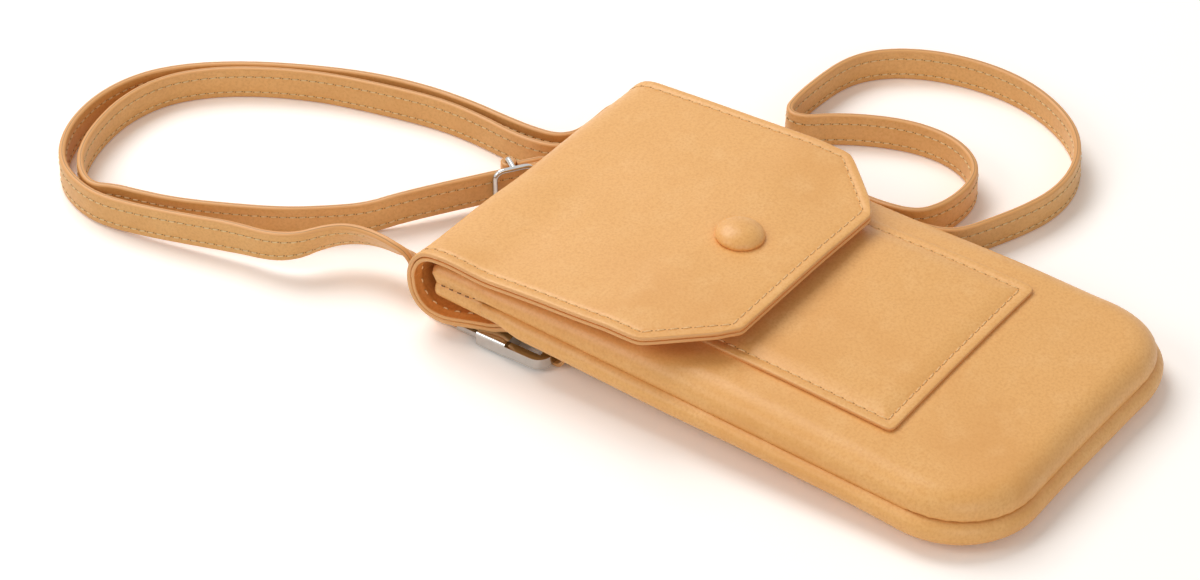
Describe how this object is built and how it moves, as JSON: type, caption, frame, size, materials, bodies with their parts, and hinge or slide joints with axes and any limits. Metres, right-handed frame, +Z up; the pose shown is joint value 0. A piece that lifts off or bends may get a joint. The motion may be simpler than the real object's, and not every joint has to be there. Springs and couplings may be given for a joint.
{
  "type": "phone pouch",
  "caption": "Slim padded leather phone pouch with a snap-button fold-over flap, a card pocket on its front and a narrow shoulder strap on trigger clasps.",
  "frame": {"origin": "on the table, under the middle of the pouch without its strap", "axes": "+Y along the pouch to its mouth, +Z up through the front, +X to the side where the strap lies coiled"},
  "size_m": [0.1934, 0.3025, 0.0296],
  "materials": {
    "leather": "smooth, fine grain",
    "strap_leather": "smooth, painted edges",
    "lining": "smooth lining leather",
    "padding": "plain",
    "nickel": "polished nickel plate"
  },
  "bodies": {
    "pouch": {"back_panel": "leather", "fold_root_lining": "lining", "back_padding": "padding", "back_lining": "lining", "edge_roll": "leather", "edge_filler_cord": "padding", "mouth_facing": "leather", "snap_stud": "nickel", "front_panel": "leather", "front_padding": "padding", "front_lining": "lining", "card_pocket": "leather", "near_hanging_tab": "leather", "far_hanging_tab": "leather", "near_swivel_eye": "nickel", "far_swivel_eye": "nickel", "near_strap_loop": "strap_leather", "far_strap_loop": "strap_leather", "strap": "strap_leather", "strap_near_end": "strap_leather", "strap_far_end": "strap_leather", "strap_return": "strap_leather"},
    "flap_fold": {"fold_leather": "leather", "fold_lining": "lining"},
    "flap": {"flap_leather": "leather", "flap_lining": "lining", "button_cover": "leather", "button_dome": "nickel", "snap_socket": "nickel"},
    "near_clasp": {"near_clasp_hook": "nickel", "near_gate_pin": "nickel"},
    "near_gate": {"near_clasp_gate": "nickel"},
    "far_clasp": {"far_clasp_hook": "nickel", "far_gate_pin": "nickel"},
    "far_gate": {"far_clasp_gate": "nickel"},
    "slider": {"strap_slider": "nickel"}
  },
  "joints": [
    {"name": "fold_turn", "type": "hinge", "parent": "pouch", "child": "flap_fold", "pos_m": [0, 0.08619, 0.00914], "axis": [-1, 0, 0], "range_deg": [0, 35.01]},
    {"name": "flap_turn", "type": "hinge", "parent": "flap_fold", "child": "flap", "pos_m": [0, 0.0855, 0.02213], "axis": [-1, 0, 0], "range_deg": [0, 75]},
    {"name": "near_clasp_swivel", "type": "hinge", "parent": "pouch", "child": "near_clasp", "pos_m": [-0.043, 0.0667, 0.003], "axis": [0, 1, 0], "range_deg": [-8, 8]},
    {"name": "near_gate_swing", "type": "hinge", "parent": "near_clasp", "child": "near_gate", "pos_m": [-0.0391, 0.0601, 0.003], "axis": [0, 0, -1], "range_deg": [0, 25], "stiffness_Nm_per_rad": 0.02},
    {"name": "far_clasp_swivel", "type": "hinge", "parent": "pouch", "child": "far_clasp", "pos_m": [0.043, 0.0667, 0.003], "axis": [0, 1, 0], "range_deg": [-8, 8]},
    {"name": "far_gate_swing", "type": "hinge", "parent": "far_clasp", "child": "far_gate", "pos_m": [0.0391, 0.0601, 0.003], "axis": [0, 0, 1], "range_deg": [0, 25], "stiffness_Nm_per_rad": 0.02},
    {"name": "slider_slide", "type": "slide", "parent": "pouch", "child": "slider", "axis": [-0.8222, 0.5692, 0], "range_m": [0, 0.014], "deforming": ["strap_return"]}
  ],
  "couplings": [
    {"joint": "fold_turn", "follows": "flap_turn", "ratio": 0.46667}
  ]
}
